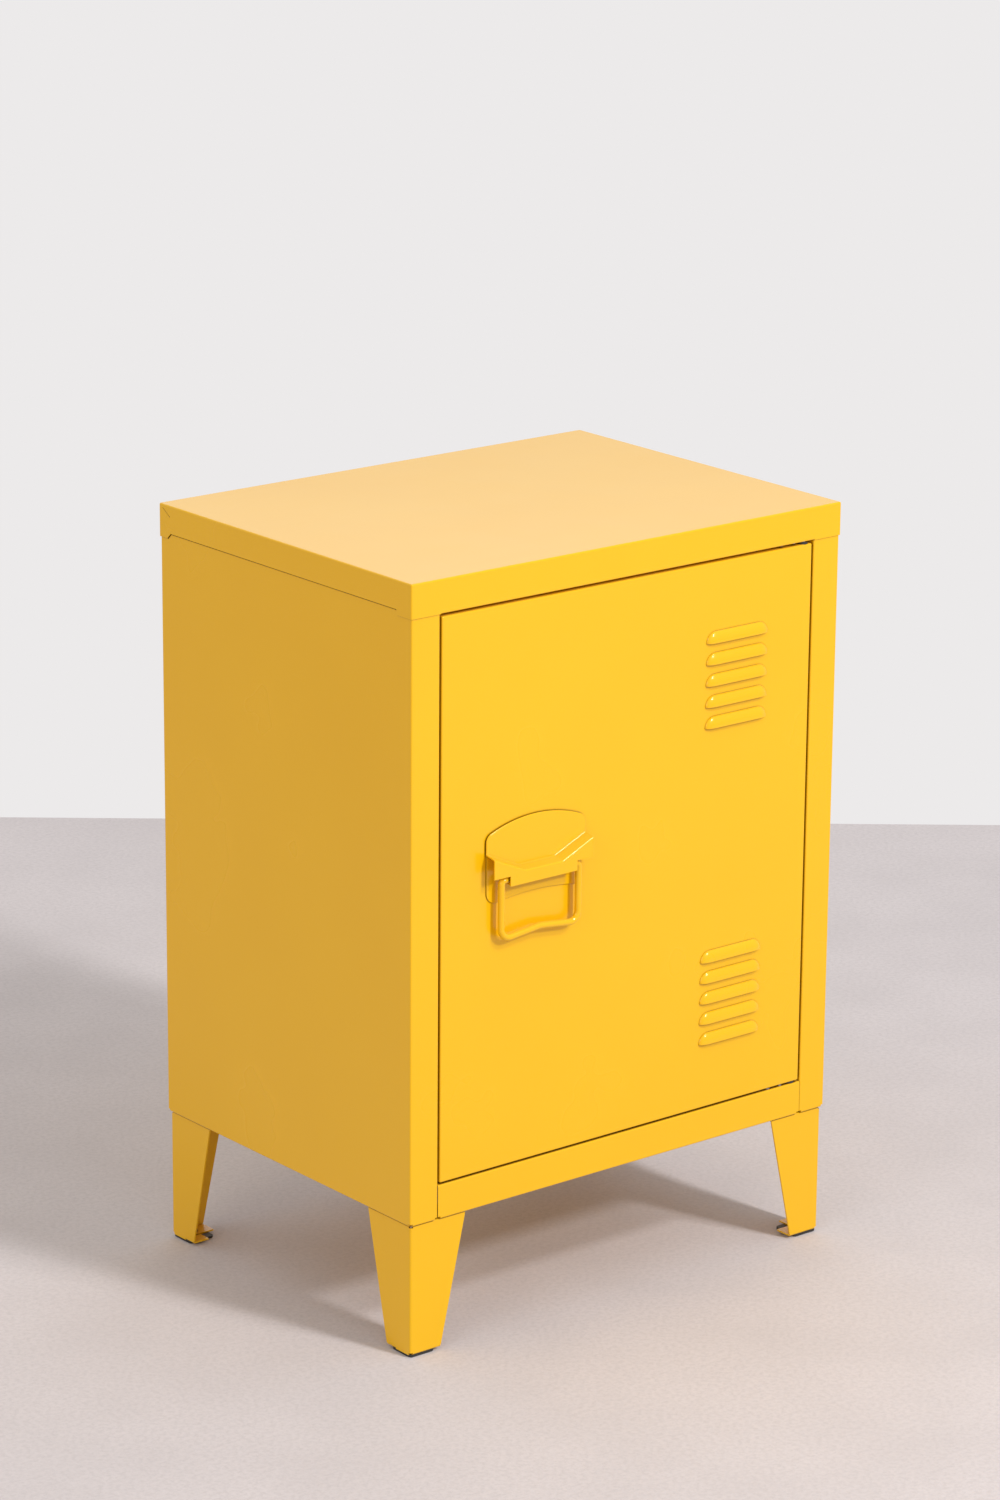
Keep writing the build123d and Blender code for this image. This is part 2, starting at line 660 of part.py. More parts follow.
def handle_back_plate():
    """Plate on the door with an arched top, a hollow bottom edge and two ears for the bail."""
    half = back_half_width
    top = hood_arch_top - hood_rim
    shoulder = arch_shoulder(half, top)
    outline = Line((-half, back_plate_bottom), (-half, shoulder))
    outline += ThreePointArc((-half, shoulder), (0, top), (half, shoulder))
    outline += Line((half, shoulder), (half, back_plate_bottom))
    outline += ThreePointArc((half, back_plate_bottom), (0, back_plate_bottom + back_plate_rise),
                             (-half, back_plate_bottom))
    shape = make_face(outline.edges())
    corners = shape.vertices().sort_by(Axis.Y)
    shape = fillet(corners[:2], back_plate_corner)
    shape = fillet(shape.vertices().sort_by(Axis.Y)[-2:], hood_corner)
    plate = on_door(shape, 0, plate_sheet)

    ear_top = hood_reach - plate_sheet - ear_gap
    ear_face = block((-ear_thickness / 2, ear_thickness / 2), (-ear_top, -plate_sheet / 2),
                     (-ear_half_height, ear_half_height))
    tips = ear_face.edges().filter_by(Axis.X).group_by(Axis.Y)[0]
    ear_face = fillet(tips, ear_corner)
    ear_face -= rod(bail_wire / 2 + 2 * running, (-5, -bail_reach, 0), (5, -bail_reach, 0))
    for hand in (-1, 1):
        plate += Pos(handle_x + hand * ear_middle, face, axis_z) * ear_face
    for x, z in stud_places():
        plate -= rod(stud_diameter / 2 + running, (x, face - 2 * plate_sheet, z), (x, face + 1, z))
    return plate


def handle_hood():
    """Arched plate whose lower edge folds out into a ledge, bent up at its ends, and down into a lip."""
    half = hood_half_width
    shoulder = arch_shoulder(half, hood_arch_top)
    crease = FilletPolyline((-half, ledge_end_height), (-ledge_middle_half, ledge_middle_height),
                            (ledge_middle_half, ledge_middle_height), (half, ledge_end_height),
                            radius=ledge_corner)

    overlap = plate_sheet / 2
    outline = (Pos(0, -overlap) * crease).edges()
    outline += Line((half, ledge_end_height - overlap), (half, shoulder)).edges()
    outline += ThreePointArc((half, shoulder), (0, hood_arch_top), (-half, shoulder)).edges()
    outline += Line((-half, shoulder), (-half, ledge_end_height - overlap)).edges()
    shape = make_face(outline)
    shape = fillet(shape.vertices().sort_by(Axis.Y)[-2:], hood_corner)
    plate = on_door(shape, plate_sheet, plate_sheet)
    above = axis_z + ledge_end_height
    rim = plate.edges().group_by(Axis.Y)[0].filter_by(lambda edge: edge.center().Z > above)
    plate = fillet(rim, hood_rim)

    band = crease.edges() + (Pos(0, -plate_sheet) * crease).edges()
    for x in (-half, half):
        band += Line((x, ledge_end_height), (x, ledge_end_height - plate_sheet)).edges()
    start = Plane(origin=(handle_x, face - plate_sheet, axis_z), x_dir=(1, 0, 0), z_dir=(0, -1, 0))
    outward = Vector(0, plate_sheet - hood_reach, -ledge_drop)
    ledge = Solid.extrude((start * make_face(band)).faces()[0], outward)

    lip_outline = (Pos(0, -ledge_drop) * crease).edges()
    lip_outline += Polyline((half, ledge_end_height - ledge_drop), (half, lip_end_bottom),
                            (lip_middle_half, lip_end_bottom), (lip_middle_half, lip_middle_bottom),
                            (-lip_middle_half, lip_middle_bottom), (-lip_middle_half, lip_end_bottom),
                            (-half, lip_end_bottom), (-half, ledge_end_height - ledge_drop)).edges()
    lip = on_door(make_face(lip_outline), hood_reach - plate_sheet, plate_sheet)

    hood = plate + ledge + lip
    for stand_off in (hood_reach, 2 * plate_sheet):
        folds = hood.edges().filter_by(
            lambda edge: abs(edge.center().Y - (face - stand_off)) < 0.01
            and axis_z + ledge_middle_height - 2 * ledge_drop < edge.center().Z < axis_z + ledge_end_height
            and abs(edge.center().X - handle_x) < half - 1)
        hood = fillet(folds, hood_crease)
    return hood


def handle_screws():
    """Screws from inside the door into the back plate."""
    seats = [Plane(origin=(x, face + sheet, z), z_dir=(0, -1, 0)) for x, z in stud_places()]
    return [pan_screw(seat, sheet + plate_sheet, stud_diameter) for seat in seats]


def bail():
    """Wire handle that hangs from the ears, with its ends turned inwards."""
    y = face - bail_reach
    half = bail_half_width
    outline = [(-bail_stub_end, 0), (-half, 0), (-half, -bail_drop), (0, bail_peak_rise - bail_drop),
               (half, -bail_drop), (half, 0), (bail_stub_end, 0)]
    points = [(handle_x + x, y, axis_z + z) for x, z in outline]
    radii = [bail_top_radius, bail_corner_radius, bail_peak_radius, bail_corner_radius, bail_top_radius]
    path = FilletPolyline(*points, radius=radii)
    return sweep(Plane(origin=points[0], z_dir=(-1, 0, 0)) * Circle(bail_wire / 2), path=path)


# ---- magnetic catch ------------------------------------------------------------------------
def strike_rivet_heights():
    return (axis_z - strike_rivet_half_span, axis_z + strike_rivet_half_span)


def catch_housing():
    """Plastic block on the left jamb with a slot for the magnet."""
    housing = block((-opening_half, -opening_half + catch_width), (catch_front, catch_front + catch_depth),
                    (axis_z - catch_length / 2, axis_z + catch_length / 2))
    housing = fillet(housing.faces().sort_by(Axis.X)[-1].edges(), catch_corner)
    slot = magnet_thickness / 2 + pole_thickness
    housing -= block((catch_x - slot, catch_x + slot), (catch_front - 1, catch_front + magnet_depth),
                     (axis_z - magnet_length / 2, axis_z + magnet_length / 2))
    for z in (axis_z - catch_screw_half_span, axis_z + catch_screw_half_span):
        y = catch_front + catch_depth / 2
        housing -= rod(catch_screw_hole / 2, (-opening_half - 1, y, z), (0, y, z))
    return housing


def catch_magnet():
    """Magnet between two steel poles that stand out of the housing."""
    z = (axis_z - magnet_length / 2, axis_z + magnet_length / 2)
    half = magnet_thickness / 2
    end = catch_front + magnet_depth
    pieces = [block((catch_x - half, catch_x + half), (catch_front, end), z)]
    for low in (catch_x - half - pole_thickness, catch_x + half):
        pieces.append(block((low, low + pole_thickness), (catch_front - pole_stand_out, end), z))
    return pieces


def catch_screws():
    y = catch_front + catch_depth / 2
    x = -opening_half + catch_width
    places = [(x, y, z) for z in (axis_z - catch_screw_half_span, axis_z + catch_screw_half_span)]
    length = catch_width + sheet + catch_screw_tail
    return [pan_screw(Plane(origin=p, z_dir=(-1, 0, 0)), length, catch_screw_diameter) for p in places]


def strike_plate():
    """Steel plate on the door's rear lip that the magnet holds."""
    low = door_left + (door_lip - strike_width) / 2
    plate = block((low, low + strike_width), (door_back, door_back + strike_thickness),
                  (axis_z - strike_length / 2, axis_z + strike_length / 2))
    for z in strike_rivet_heights():
        x = door_left + door_lip / 2
        plate -= rod(rivet_diameter / 2 + running, (x, door_back - 1, z), (x, door_back + 2, z))
    return plate


def strike_rivets():
    seats = [Plane(origin=(door_left + door_lip / 2, door_back + strike_thickness, z), z_dir=(0, -1, 0))
             for z in strike_rivet_heights()]
    return [rivet(seat, strike_thickness + sheet, head=strike_rivet_head) for seat in seats]


# ---- shelf ---------------------------------------------------------------------------------
def shelf():
    """Loose shelf: a pan turned down, with its lips on the clips."""
    inner_half = shelf_half - shelf_lip
    return pan((-shelf_half, shelf_half), (shelf_front, shelf_rear), (shelf_bottom, shelf_top),
               (-inner_half, inner_half), (shelf_front + shelf_lip, shelf_rear - shelf_lip),
               (shelf_bottom - 1, shelf_bottom + 2 * sheet))


def shelf_clips():
    """Angle clips welded inside the side panels, just under the shelf."""
    wall = -side + sheet
    top = shelf_bottom - seat_gap
    clips = []
    for y in (shelf_front + clip_inset, shelf_rear - clip_inset):
        clip = strip_back([(wall, top - clip_upright), (wall, top), (wall + clip_leaf, top)],
                          (y - clip_length / 2, y + clip_length / 2), clip_sheet)
        clips += [clip, mirrored(clip, across_x=True, across_y=False)]
    return clips


# ---- assembly ------------------------------------------------------------------------------
def parts():
    """Every piece by name. A list is a group of separate like pieces."""
    made = {
        "top_panel": top_panel(),
        "left_side_panel": side_panel(is_right=False),
        "right_side_panel": side_panel(is_right=True),
        "back_panel": back_panel(),
        "bottom_panel": bottom_panel(),
        "leg_bolts": leg_bolts(),
        "leg_nuts": leg_nuts(),
        "back_screws": back_screws(),
        "top_screws": top_screws(),
        "upper_hinge_bracket": upper_hinge_bracket(),
        "lower_hinge_bracket": lower_hinge_bracket(),
        "upper_hinge_pin": upper_hinge_pin(),
        "lower_hinge_pin": lower_hinge_pin(),
        "hinge_rivets": hinge_rivets(),
        "upper_hinge_bush": hinge_bush(door_top, -1),
        "lower_hinge_bush": hinge_bush(door_bottom, 1),
        "door_skin": door_skin(),
        "door_stiffener": door_stiffener(),
        "handle_back_plate": handle_back_plate(),
        "handle_hood": handle_hood(),
        "handle_screws": handle_screws(),
        "bail": bail(),
        "catch_housing": catch_housing(),
        "catch_magnet": catch_magnet(),
        "catch_screws": catch_screws(),
        "strike_plate": strike_plate(),
        "strike_rivets": strike_rivets(),
        "shelf": shelf(),
        "shelf_clips": shelf_clips(),
    }
    for is_rear, end in ((False, "front"), (True, "rear")):
        for is_right, hand in ((False, "left"), (True, "right")):
            made[f"{end}_{hand}_leg"] = leg(is_right, is_rear)
            made[f"{end}_{hand}_foot_pad"] = foot_pad(is_right, is_rear)
    return made


os.makedirs("parts", exist_ok=True)
for name, shape in parts().items():
    if isinstance(shape, list):
        shape = Compound(children=[solid for piece in shape for solid in piece.solids()])
    export_step(shape, f"parts/{name}.step")
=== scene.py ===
"""Looks for a one-door steel locker cabinet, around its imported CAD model."""
import bpy
import json
import math
from bpy.props import FloatProperty, FloatVectorProperty, PointerProperty
from mathutils import Matrix, Vector


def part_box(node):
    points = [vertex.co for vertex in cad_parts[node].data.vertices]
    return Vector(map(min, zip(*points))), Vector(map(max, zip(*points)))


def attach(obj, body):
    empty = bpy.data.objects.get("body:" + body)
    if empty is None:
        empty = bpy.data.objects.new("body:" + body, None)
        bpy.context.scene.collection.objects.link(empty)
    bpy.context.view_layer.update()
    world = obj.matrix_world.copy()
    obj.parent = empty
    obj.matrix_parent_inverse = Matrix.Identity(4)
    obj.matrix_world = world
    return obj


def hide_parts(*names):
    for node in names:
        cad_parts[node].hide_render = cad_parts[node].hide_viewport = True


bl_info = {
    "name": "Locker cabinet",
    "version": (1, 0, 0),
    "blender": (4, 5, 0),
    "location": "View3D > Sidebar > Cabinet",
    "description": "Powder-coated steel cabinet: coats, fittings, fixings and studio",
    "category": "Object",
}

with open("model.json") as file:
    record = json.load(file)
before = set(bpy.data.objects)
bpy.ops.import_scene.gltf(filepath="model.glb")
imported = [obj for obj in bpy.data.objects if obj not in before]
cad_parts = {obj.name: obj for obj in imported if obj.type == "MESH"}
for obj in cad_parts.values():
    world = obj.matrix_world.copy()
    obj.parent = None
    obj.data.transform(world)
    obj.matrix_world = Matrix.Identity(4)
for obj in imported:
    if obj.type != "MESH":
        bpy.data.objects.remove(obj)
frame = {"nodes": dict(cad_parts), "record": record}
NODES = frame["nodes"]
BODY_OF = {node: body for body, nodes in frame["record"]["behaviour"]["bodies"].items() for node in nodes}
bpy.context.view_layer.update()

MM = 0.001
SHEET = 0.8 * MM
CLIP_SHEET = 1.5 * MM
SAME_POINT = 2e-6  # vertices nearer than this are one vertex
BOLT_HEAD_HEIGHT = 4.0 * MM
THREAD_RADIUS = 3.0 * MM
THREAD_PITCH = 1.0 * MM
NUT_BORE_RADIUS = 3.06 * MM
HEXAGON_ROUNDING = 0.12 * MM
THREAD_ROUNDING = 0.05 * MM
WELD_RADIUS = 2.6 * MM
WELD_THICKNESS = 0.2 * MM  # half of it stands proud of the sheet
SHEET_NODES = ("top_panel", "left_side_panel", "right_side_panel", "bottom_panel", "back_panel",
               "door_skin", "door_stiffener", "shelf", "shelf_clips")
LEG_NODES = ("front_left_leg", "front_right_leg", "rear_left_leg", "rear_right_leg")
HANDLE_NODES = ("handle_back_plate", "handle_hood")
ZINC_NODES = ("back_screws", "top_screws", "handle_screws", "catch_screws", "strike_rivets", "hinge_rivets",
              "upper_hinge_pin", "lower_hinge_pin", "upper_hinge_bracket", "lower_hinge_bracket")
PAD_NODES = ("front_left_foot_pad", "front_right_foot_pad", "rear_left_foot_pad", "rear_right_foot_pad")


# ---- settings ------------------------------------------------------------------------------
class CoatSettings(bpy.types.PropertyGroup):
    """The powder coat on the sheet metal."""
    colour: FloatVectorProperty(name="Colour", description="Main colour of the coat", subtype="COLOR",
                                size=3, min=0, max=1, default=(0.820, 0.452, 0.003))
    thin_colour: FloatVectorProperty(name="Thin colour", description="Colour where the coat is thinner",
                                     subtype="COLOR", size=3, min=0, max=1, default=(0.795, 0.425, 0.002))
    roughness: FloatProperty(name="Roughness", description="Micro roughness of the coat", subtype="FACTOR",
                             min=0, max=1, default=0.28)
    peel_size: FloatProperty(name="Peel size", description="Spacing of the coat's orange peel",
                             subtype="DISTANCE", unit="LENGTH", min=0.0005, default=0.0024)
    peel_depth: FloatProperty(name="Peel depth", description="Depth of the coat's orange peel",
                              subtype="DISTANCE", unit="LENGTH", min=0, default=0.00002)
    # Partly real dust, partly painted sheen that lightens faces that look up.
    dust_and_sheen: FloatProperty(name="Dust and sheen", description="Share of dust on faces that look up", subtype="FACTOR",
                        min=0, max=1, default=0.10)
    # Painted shade: the colour put into seams, slots and folds where shade falls, and the distance over which
    # it fades in.
    seam_shade_colour: FloatVectorProperty(name="Seam shade colour", description="Colour of the coat deep in a seam",
                                     subtype="COLOR", size=3, min=0, max=1, default=(0.110, 0.028, 0.001))
    seam_reach: FloatProperty(name="Seam reach", description="Distance at which a seam starts to darken",
                              subtype="DISTANCE", unit="LENGTH", min=0, default=0.0022)
    edge: FloatProperty(name="Edge rounding", description="Rounding of cut sheet edges by the coat",
                        subtype="DISTANCE", unit="LENGTH", min=0, default=0.00018)


class StageSettings(bpy.types.PropertyGroup):
    """Floor, lights and camera."""
    floor_colour: FloatVectorProperty(name="Floor colour", description="Colour of the floor", subtype="COLOR",
                                      size=3, min=0, max=1, default=(0.622, 0.575, 0.585))
    wall_colour: FloatVectorProperty(name="Backdrop colour", description="Colour behind the floor",
                                     subtype="COLOR", size=3, min=0, max=1, default=(0.840, 0.823, 0.823))
    floor_behind: FloatProperty(name="Floor behind", description="Floor seen behind the cabinet",
                                subtype="DISTANCE", unit="LENGTH", min=0.5, default=1.06)
    yaw: FloatProperty(name="Camera yaw", description="Turn of the camera from straight ahead, to the left",
                       subtype="ANGLE", unit="ROTATION", default=math.radians(39.06))
    pitch: FloatProperty(name="Camera pitch", description="Fall of the camera's line", subtype="ANGLE",
                         unit="ROTATION", default=math.radians(16.52))
    roll: FloatProperty(name="Camera roll", description="Roll of the camera", subtype="ANGLE",
                        unit="ROTATION", default=math.radians(0.45))
    lens: FloatProperty(name="Lens", description="Focal length on a 36 mm sensor", min=10, default=116.6)


# ---- shader groups -------------------------------------------------------------------------
def new_group(name, inputs, outputs):
    """An empty shader group with named sockets: (name, kind, default) and (name, kind)."""
    group = bpy.data.node_groups.new(name, "ShaderNodeTree")
    for socket_name, kind, default in inputs:
        socket = group.interface.new_socket(socket_name, in_out="INPUT", socket_type=kind)
        if default is not None:
            socket.default_value = default
    for socket_name, kind in outputs:
        group.interface.new_socket(socket_name, in_out="OUTPUT", socket_type=kind)
    return group, group.nodes.new("NodeGroupInput"), group.nodes.new("NodeGroupOutput")


def add_node(tree, kind, **settings):
    """A node whose plain settings are attributes and whose other settings are input values."""
    node = tree.nodes.new(kind)
    for key, value in settings.items():
        if hasattr(node, key):
            setattr(node, key, value)
        else:
            node.inputs[key.replace("_", " ")].default_value = value
    return node


def math_node(tree, operation, first, second, third=None):
    """A Math node; each term is a socket or a number."""
    node = tree.nodes.new("ShaderNodeMath")
    node.operation = operation
    for index, term in enumerate((first, second, third)):
        if isinstance(term, (int, float)):
            node.inputs[index].default_value = term
        elif term is not None:
            tree.links.new(term, node.inputs[index])
    return node.outputs[0]


def mix_colours(tree, factor, first, second):
    """A colour mix of sockets."""
    node = tree.nodes.new("ShaderNodeMix")
    node.data_type = "RGBA"
    for socket, term in ((node.inputs["Factor"], factor), (node.inputs[6], first), (node.inputs[7], second)):
        if isinstance(term, (int, float, tuple)):
            socket.default_value = term
        else:
            tree.links.new(term, socket)
    return node.outputs[2]


def grain_group():
    """Colour drift, roughness drift and surface height of a coat or a moulding."""
    group, given, result = new_group(
        "surface_grain",
        [("Vector", "NodeSocketVector", None), ("Colour", "NodeSocketColor", (0.8, 0.8, 0.8, 1)),
         ("Thin Colour", "NodeSocketColor", (0.7, 0.7, 0.7, 1)), ("Roughness", "NodeSocketFloat", 0.4),
         ("Spread", "NodeSocketFloat", 0.06), ("Peel Scale", "NodeSocketFloat", 400.0)],
        [("Colour", "NodeSocketColor"), ("Roughness", "NodeSocketFloat"), ("Height", "NodeSocketFloat")])
    link = group.links.new
    drift = add_node(group, "ShaderNodeTexNoise", Scale=7.0, Detail=3.0, Roughness=0.55)
    speck = add_node(group, "ShaderNodeTexNoise", Scale=1400.0, Detail=1.0, Roughness=0.5)
    peel = add_node(group, "ShaderNodeTexNoise", Detail=2.0, Roughness=0.45)
    for texture in (drift, speck, peel):
        link(given.outputs["Vector"], texture.inputs["Vector"])
    link(given.outputs["Peel Scale"], peel.inputs["Scale"])
    blotch = add_node(group, "ShaderNodeMapRange", interpolation_type="SMOOTHSTEP",
                      From_Min=0.25, From_Max=0.8)
    link(drift.outputs["Fac"], blotch.inputs["Value"])
    both = math_node(group, "MULTIPLY_ADD", speck.outputs["Fac"], 0.35, blotch.outputs[0])
    shade = math_node(group, "MULTIPLY", both, 0.55)
    mixed = mix_colours(group, shade, given.outputs["Colour"], given.outputs["Thin Colour"])
    link(mixed, result.inputs["Colour"])
    swing = math_node(group, "SUBTRACT", drift.outputs["Fac"], 0.5)
    roughness = math_node(group, "MULTIPLY_ADD", swing, given.outputs["Spread"], given.outputs["Roughness"])
    link(roughness, result.inputs["Roughness"])
    height = math_node(group, "MULTIPLY_ADD", speck.outputs["Fac"], 0.15, peel.outputs["Fac"])
    link(height, result.inputs["Height"])
    return group


def dust_and_sheen_group():
    """Dust that settles on faces that look up, thicker in patches; it also paints a pale sheen onto those
    faces.
    """
    group, given, result = new_group(
        "settled_dust_and_sheen",
        [("Vector", "NodeSocketVector", None), ("Colour", "NodeSocketColor", (0.8, 0.8, 0.8, 1)),
         ("Dust And Sheen Colour", "NodeSocketColor", (0.62, 0.58, 0.52, 1)), ("Roughness", "NodeSocketFloat", 0.4),
         ("Amount", "NodeSocketFloat", 0.1)],
        [("Colour", "NodeSocketColor"), ("Roughness", "NodeSocketFloat")])
    link = group.links.new
    geometry = group.nodes.new("ShaderNodeNewGeometry")
    split = group.nodes.new("ShaderNodeSeparateXYZ")
    link(geometry.outputs["Normal"], split.inputs[0])
    upward = add_node(group, "ShaderNodeMapRange", From_Min=0.75, From_Max=1.0)
    link(split.outputs["Z"], upward.inputs["Value"])
    patches = add_node(group, "ShaderNodeTexNoise", Scale=18.0, Detail=5.0, Roughness=0.6)
    link(given.outputs["Vector"], patches.inputs["Vector"])
    # partly real dust, partly painted sheen: faces that look up are lightened toward a pale colour
    mask = math_node(group, "MULTIPLY", upward.outputs[0], patches.outputs["Fac"])
    mask = math_node(group, "MULTIPLY", mask, given.outputs["Amount"])
    dusty = mix_colours(group, mask, given.outputs["Colour"], given.outputs["Dust And Sheen Colour"])
    link(dusty, result.inputs["Colour"])
    duller = math_node(group, "MULTIPLY_ADD", mask, 0.5, given.outputs["Roughness"])
    link(duller, result.inputs["Roughness"])
    return group


def seam_shade_group():
    """Paints shade into a colour: darkens it where the surface is shut in, as in a seam, a slot or a fold."""
    group, given, result = new_group(
        "seam_painted_shade",
        [("Vector", "NodeSocketVector", None), ("Openness", "NodeSocketFloat", 1.0),
         ("Colour", "NodeSocketColor", (0.8, 0.8, 0.8, 1)),
         ("Seam Shade Colour", "NodeSocketColor", (0.1, 0.1, 0.1, 1)),
         ("Open At", "NodeSocketFloat", 0.92), ("Amount", "NodeSocketFloat", 0.95)],
        [("Colour", "NodeSocketColor")])
    link = group.links.new
    ragged = add_node(group, "ShaderNodeTexNoise", Scale=260.0, Detail=2.0, Roughness=0.5)
    link(given.outputs["Vector"], ragged.inputs["Vector"])
    uneven = math_node(group, "MULTIPLY_ADD", ragged.outputs["Fac"], 0.08, given.outputs["Openness"])
    # painted shade: the more shut in the surface, the nearer the colour goes to the seam's shade colour
    shut = add_node(group, "ShaderNodeMapRange", From_Min=0.40, To_Min=1.0, To_Max=0.0)
    link(uneven, shut.inputs["Value"])
    link(given.outputs["Open At"], shut.inputs["From Max"])
    mask = math_node(group, "MULTIPLY", shut.outputs[0], given.outputs["Amount"])
    darkened = mix_colours(group, mask, given.outputs["Colour"], given.outputs["Seam Shade Colour"])
    link(darkened, result.inputs["Colour"])
    return group


# ---- materials -----------------------------------------------------------------------------
def grained_material(name, colour, thin_colour, roughness, peel_scale, peel_depth, dust_and_sheen=0.0, spread=0.06):
    """A principled surface with grain, and dust that also paints a pale sheen on faces that look up.

    Returns the material, its shader node, its place socket and the socket of its finished colour.
    """
    material = bpy.data.materials.new(name)
    material.use_nodes = True
    tree = material.node_tree
    shader = tree.nodes["Principled BSDF"]
    link = tree.links.new
    place = tree.nodes.new("ShaderNodeTexCoord").outputs["Object"]
    grain = add_node(tree, "ShaderNodeGroup", node_tree=bpy.data.node_groups["surface_grain"])
    grain.inputs["Colour"].default_value = (*colour, 1)
    grain.inputs["Thin Colour"].default_value = (*thin_colour, 1)
    grain.inputs["Roughness"].default_value = roughness
    grain.inputs["Spread"].default_value = spread
    grain.inputs["Peel Scale"].default_value = peel_scale
    link(place, grain.inputs["Vector"])
    dust_and_sheen_node = add_node(tree, "ShaderNodeGroup", node_tree=bpy.data.node_groups["settled_dust_and_sheen"])
    dust_and_sheen_node.inputs["Amount"].default_value = dust_and_sheen
    link(place, dust_and_sheen_node.inputs["Vector"])
    link(grain.outputs["Colour"], dust_and_sheen_node.inputs["Colour"])
    link(grain.outputs["Roughness"], dust_and_sheen_node.inputs["Roughness"])
    link(dust_and_sheen_node.outputs["Colour"], shader.inputs["Base Color"])
    link(dust_and_sheen_node.outputs["Roughness"], shader.inputs["Roughness"])
    bump = add_node(tree, "ShaderNodeBump", Strength=1.0, Distance=peel_depth)
    link(grain.outputs["Height"], bump.inputs["Height"])
    link(bump.outputs["Normal"], shader.inputs["Normal"])
    return material, shader, place, dust_and_sheen_node.outputs["Colour"]


def coat_material(context, name, roughness_shift=0.0):
    """Satin powder coat, with painted shade darkening its seams, slots and folds."""
    coat = context.scene.cabinet_coat
    material, shader, place, colour = grained_material(
        name, coat.colour, coat.thin_colour, coat.roughness + roughness_shift,
        1 / coat.peel_size, coat.peel_depth, coat.dust_and_sheen)
    shader.inputs["IOR"].default_value = 1.46
    shader.inputs["Specular Tint"].default_value = (1.0, 0.9, 0.6, 1)
    shader.inputs["Specular IOR Level"].default_value = 0.38
    shader.inputs["Coat Weight"].default_value = 0.4
    shader.inputs["Coat Roughness"].default_value = 0.13
    tree = material.node_tree
    # painted shade: ambient occlusion over a short distance darkens the coat's colour in seams, slots and
    # folds
    closeness = add_node(tree, "ShaderNodeAmbientOcclusion", samples=12, Distance=coat.seam_reach)
    seam = add_node(tree, "ShaderNodeGroup", node_tree=bpy.data.node_groups["seam_painted_shade"])
    seam.inputs["Seam Shade Colour"].default_value = (*coat.seam_shade_colour, 1)
    tree.links.new(place, seam.inputs["Vector"])
    tree.links.new(closeness.outputs["AO"], seam.inputs["Openness"])
    tree.links.new(colour, seam.inputs["Colour"])
    tree.links.new(seam.outputs["Colour"], shader.inputs["Base Color"])
    return material


def plated_material(name, colour, roughness):
    """Zinc plate or bare steel."""
    darker = tuple(0.8 * channel for channel in colour)
    material, shader = grained_material(
        name, colour, darker, roughness, peel_scale=900.0, peel_depth=8e-6, spread=0.25)[:2]
    shader.inputs["Metallic"].default_value = 1.0
    return material


def plastic_material(name, colour, roughness, peel_scale):
    """Moulded plastic with a fine spark-eroded grain."""
    lighter = tuple(min(1.0, 1.25 * channel + 0.004) for channel in colour)
    return grained_material(name, colour, lighter, roughness, peel_scale, peel_depth=1.2e-5, dust_and_sheen=0.2)[0]


def concrete_material(colour):
    """Pale trowelled concrete: broad clouds, fine specks and a slight tooth."""
    darker = tuple(0.86 * channel for channel in colour)
    material, shader, place, clouds = grained_material(
        "floor_concrete", colour, darker, roughness=0.78, peel_scale=220.0, peel_depth=1.5e-4)
    tree = material.node_tree
    specks = add_node(tree, "ShaderNodeTexNoise", Scale=260.0, Detail=4.0, Roughness=0.75)
    tree.links.new(place, specks.inputs["Vector"])
    sparse = add_node(tree, "ShaderNodeMapRange", From_Min=0.42, From_Max=0.64, To_Max=0.42)
    tree.links.new(specks.outputs["Fac"], sparse.inputs["Value"])
    speck_colour = (*(0.70 * channel for channel in colour), 1)
    speckled = mix_colours(tree, sparse.outputs[0], clouds, speck_colour)
    tree.links.new(speckled, shader.inputs["Base Color"])
    return material


def assign(obj, material):
    """Gives a piece one material."""
    obj.data.materials.clear()
    obj.data.materials.append(material)


# ---- modelling helpers ---------------------------------------------------------------------
def pick(obj):
    """Makes obj the only selected object and the active one."""
    bpy.ops.object.select_all(action="DESELECT")
    obj.select_set(True)
    bpy.context.view_layer.objects.active = obj


def round_edges(obj, width, angle):
    """Rounds the active object's edges that turn by more than angle, in degrees."""
    bevel = obj.modifiers.new("rounding", "BEVEL")
    bevel.width = width
    bevel.segments = 2
    bevel.limit_method = "ANGLE"
    bevel.angle_limit = math.radians(angle)
    bpy.ops.object.modifier_apply(modifier=bevel.name)


def finished_copy(node, rounding):
    """A welded copy of a CAD node with softly rounded sheet edges, shown in its place."""
    obj = bpy.data.objects.new(f"{node}_coated", NODES[node].data.copy())
    bpy.context.scene.collection.objects.link(obj)
    pick(obj)
    bpy.ops.mesh.customdata_custom_splitnormals_clear()
    bpy.ops.object.mode_set(mode="EDIT")
    bpy.ops.mesh.select_all(action="SELECT")
    bpy.ops.mesh.remove_doubles(threshold=SAME_POINT)
    bpy.ops.mesh.dissolve_limited(angle_limit=math.radians(0.3))
    bpy.ops.object.mode_set(mode="OBJECT")
    if rounding:
        round_edges(obj, rounding, angle=40)
    bpy.ops.object.shade_smooth_by_angle(angle=math.radians(50))
    flatten = obj.modifiers.new("flat faces stay flat", "WEIGHTED_NORMAL")
    flatten.mode = "FACE_AREA"
    flatten.weight = 100
    flatten.keep_sharp = True
    bpy.ops.object.modifier_apply(modifier=flatten.name)
    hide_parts(node)
    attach(obj, BODY_OF[node])
    return obj


